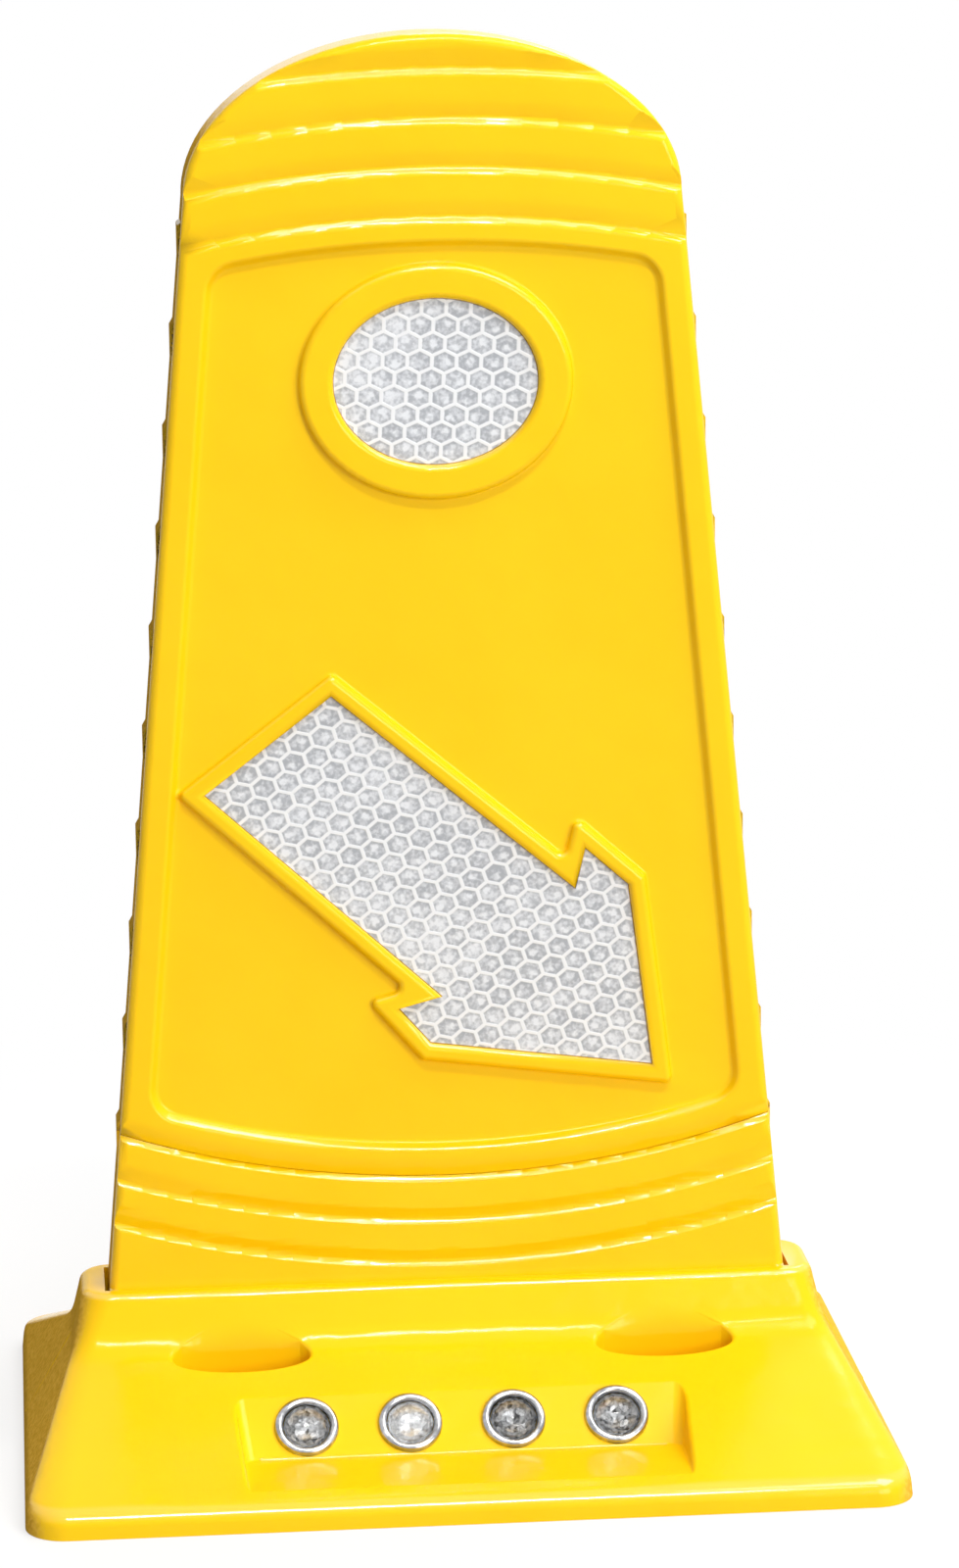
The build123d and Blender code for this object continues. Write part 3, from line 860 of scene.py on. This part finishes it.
def modelLens(settings):
    rise = settings["domeRise"]
    radius = settings["radius"]
    foot = settings["foot"]
    drawnRadius, drawnDepth = settings["footDraw"]
    sphere = (radius ** 2 + rise ** 2) / (2 * rise)
    widest = math.asin(radius / sphere)
    profile = [(radius * drawnRadius, foot), (radius, foot * drawnDepth)]
    for index in range(settings["domeRings"]):
        angle = widest * (1 - index / settings["domeRings"])
        drop = sphere * (1 - math.cos(angle))
        profile.append((sphere * math.sin(angle), settings["edge"] + rise - drop))
    lens = turnProfile("beadLens", profile, settings["sides"])
    closeTip(settings["edge"] + rise - profile[-1][1])
    selectOpenRings()
    bpy.ops.mesh.edge_face_add()
    closeTurned(meshCare)
    smoothByAngle(lens, meshCare["softAngle"])
    return lens


def modelCup(settings):
    cup = turnProfile("beadMirror", settings["cupProfile"], settings["cupSides"])
    closeTip(settings["cupTip"] - settings["cupProfile"][-1][1])
    closeTurned(meshCare)
    addWall(cup, settings["cupWall"])
    return cup


# where a bead sits, from the box of its glass: the drum's lower edge is the box's far corner
def beadPlace(index, settings):
    low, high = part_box("front_bead_lens_" + str(index))
    lean = math.radians(settings["lean"])
    reach = settings["radius"] * math.cos(lean) - settings["foot"] * math.sin(lean)
    drop = settings["radius"] * math.sin(lean) - settings["foot"] * math.cos(lean)
    place = Vector(((low[0] + high[0]) / 2, high[1] - reach, low[2] + drop))
    return Matrix.Translation(place) @ Matrix.Rotation(lean, 4, "X")


beadModels = {"ring": modelRing(bead), "lens": modelLens(bead), "mirror": modelCup(bead)}
beadFinish = {"ring": brightRing, "lens": clearGlass, "mirror": mirrorFoil}
for side, turn in sideTurns.items():
    for index in range(1, bead["count"] + 1):
        place = turn @ beadPlace(index, bead)
        for kind, model in beadModels.items():
            name = "_".join((side, "bead", kind, "piece", str(index)))
            piece = placeCopy(model, name, place, beadFinish[kind], "base")
            if kind == "mirror":
                # each cup gets its painted reflection shade
                setMark(piece.data, "paintedBeadReflection", bead["shades"][index - 1])
            else:
                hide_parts("_".join((side, "bead", kind, str(index))))
for model in beadModels.values():
    bpy.data.objects.remove(model)
print("stage: bead reflectors done")


# thin uneven moulding seam along the foot of the bead wall; metres
recessSeam = {
    "length": 0.176,
    "radius": (0.00045, 0.00085),
    "waves": 3.5,
    "rings": 42,
    "sides": 16,
    "corner": (-0.0892, 0.0142),     # foot of the wall, forward and up
    "shine": 1.0,
}


def modelSeam(settings):
    profile = []
    for index in range(settings["rings"] + 1):
        share = index / settings["rings"]
        swell = (1.0 + math.cos(2.0 * math.pi * settings["waves"] * share)) / 2
        profile.append((between(settings["radius"], swell), settings["length"] * (share - 0.5)))
    seam = turnProfile("recessSeam", profile, settings["sides"])
    bpy.ops.mesh.select_all(action="SELECT")
    bpy.ops.mesh.fill_holes(sides=0)
    closeTurned(meshCare)
    place = Matrix.Translation((0.0, *settings["corner"]))
    seam.data.transform(place @ Matrix.Rotation(math.pi / 2, 4, "Y"))
    smoothByAngle(seam, meshCare["softAngle"])
    setMark(seam.data, "edgeShine", settings["shine"])
    return seam


seamModel = modelSeam(recessSeam)
for side, turn in sideTurns.items():
    placeCopy(seamModel, side + "_recess_seam", turn, yellow, "base")
bpy.data.objects.remove(seamModel)
print("stage: recess seams done")


# pale floor that fades to white away from the object, and white all round, for the camera and in reflections
backdrop = {
    "floorSize": 12.0,
    "floorDrop": 0.0002,
    "floorRoughness": 0.9,
    "floorColour": solidColour(0.92, 0.92, 0.92),     # as the camera sees it
    "bounceColour": solidColour(0.45, 0.45, 0.45),    # as it lights the object
    "white": solidColour(1.0, 1.0, 1.0),
    "fade": (0.22, 0.70),            # metres from the middle
    "nearGlow": 0.65,
    "worldStrength": 0.32,
    "worldLean": 0.76,               # share that the right is brighter by and the left darker
}


# 1 for what the camera sees, also by way of metal or glass
def seenRay(wire):
    path = wire.node("ShaderNodeLightPath", output="Is Camera Ray")
    mirrored = wire.math("MAXIMUM", path.other("Is Glossy Ray"), path.other("Is Transmission Ray"))
    return wire.math("MAXIMUM", path, mirrored)


def makeFloor(name, settings):
    material, shader, wire = newMaterial(name)
    seen = seenRay(wire)
    feed(wire.mixColour(seen, settings["bounceColour"], settings["floorColour"]), shader, "Base Color")
    setSockets(shader, {"Roughness": settings["floorRoughness"], "Specular IOR Level": 0.0})
    away = wire.node("ShaderNodeVectorMath", {"operation": "LENGTH"}, {0: objectPlace(wire)}, output="Value")
    glow = between((settings["nearGlow"], 1.0), away.ramp(*settings["fade"]))
    white = wire.node("ShaderNodeEmission", None, {"Color": settings["white"], "Strength": 1.0})
    coverShader(material, shader, glow * seen, white)
    return material


deselectAll()
bpy.ops.mesh.primitive_plane_add(size=backdrop["floorSize"], location=(0.0, 0.0, -backdrop["floorDrop"]))
floor = bpy.context.object
floor.name = "floor"
bpy.ops.object.transform_apply(location=True)
setMaterial(floor, makeFloor("paleFloor", backdrop))

world = bpy.data.worlds.new("studio")
bpy.context.scene.world = world
world.use_nodes = True
sky = Wire(world.node_tree)
direction = sky.node("ShaderNodeTexCoord", output="Generated")
toRight = sky.node("ShaderNodeSeparateXYZ", None, {"Vector": direction})
soft = backdrop["worldStrength"] * (1.0 + backdrop["worldLean"] * toRight)
background = world.node_tree.nodes["Background"]
feed(between((soft, 1.0), seenRay(sky)), background, "Strength")
setSockets(background, {"Color": backdrop["white"]})


# lamps: a large one in front, one overhead on the right, a narrow one high in front that draws the edges,
# and one high behind; metres and watts
lamps = {
    "front": {"place": (2.51, -4.35, 1.60), "aim": (0.0, 0.0, 0.25), "size": (3.0, 2.0), "power": 132.0},
    "over": {"place": (1.35, -0.45, 2.90), "aim": (0.0, 0.0, 0.20), "size": (1.5, 1.5), "power": 42.0},
    "strip": {"place": (0.15, -2.17, 3.70), "aim": (0.0, 0.0, 0.35), "size": (1.0, 0.10), "power": 60.0},
    "rear": {"place": (1.20, 4.10, 3.30), "aim": (0.0, 0.0, 0.30), "size": (2.0, 1.5), "power": 110.0},
}
for name, lamp in lamps.items():
    light = bpy.data.lights.new(name, "AREA")
    light.shape = "RECTANGLE"
    light.size, light.size_y = lamp["size"]
    light.energy = lamp["power"]
    holder = bpy.data.objects.new(name, light)
    bpy.context.scene.collection.objects.link(holder)
    holder.location = lamp["place"]
    aim = Vector(lamp["aim"]) - Vector(lamp["place"])
    holder.rotation_euler = aim.to_track_quat("-Z", "Y").to_euler()
print("stage: floor and lamps done")


# camera at the photograph's angle; metres, degrees and pixels of the photograph
shot = {
    "place": (-0.1781, -2.1995, 0.7679),
    "yaw": 4.39,
    "pitch": 11.55,
    "roll": -0.83,
    "focalPixels": 5255.0,
    "shiftPixels": (64.0, 60.0),     # of the frame, right and down
    "imageHeight": 1600.0,
    "sensorHeight": 36.0,            # millimetres
}


def aimCamera(settings):
    yaw, pitch, roll = (math.radians(settings[name]) for name in ("yaw", "pitch", "roll"))
    forward = Vector((math.sin(yaw) * math.cos(pitch), math.cos(yaw) * math.cos(pitch), -math.sin(pitch)))
    level = Vector((math.cos(yaw), -math.sin(yaw), 0.0))
    right = level * math.cos(roll) + level.cross(forward) * math.sin(roll)
    up = right.cross(forward)
    return Matrix((right, up, -forward)).transposed().to_4x4()


camera = bpy.data.cameras.new("shot")
camera.sensor_fit = "VERTICAL"
camera.sensor_height = shot["sensorHeight"]
camera.lens = shot["focalPixels"] / shot["imageHeight"] * shot["sensorHeight"]
camera.shift_x = shot["shiftPixels"][0] / shot["imageHeight"]
camera.shift_y = -shot["shiftPixels"][1] / shot["imageHeight"]
cameraHolder = bpy.data.objects.new("shot", camera)
bpy.context.scene.collection.objects.link(cameraHolder)
cameraHolder.matrix_world = Matrix.Translation(shot["place"]) @ aimCamera(shot)
bpy.context.scene.camera = cameraHolder
bpy.context.scene.view_settings.view_transform = "Standard"
print("stage: camera set")
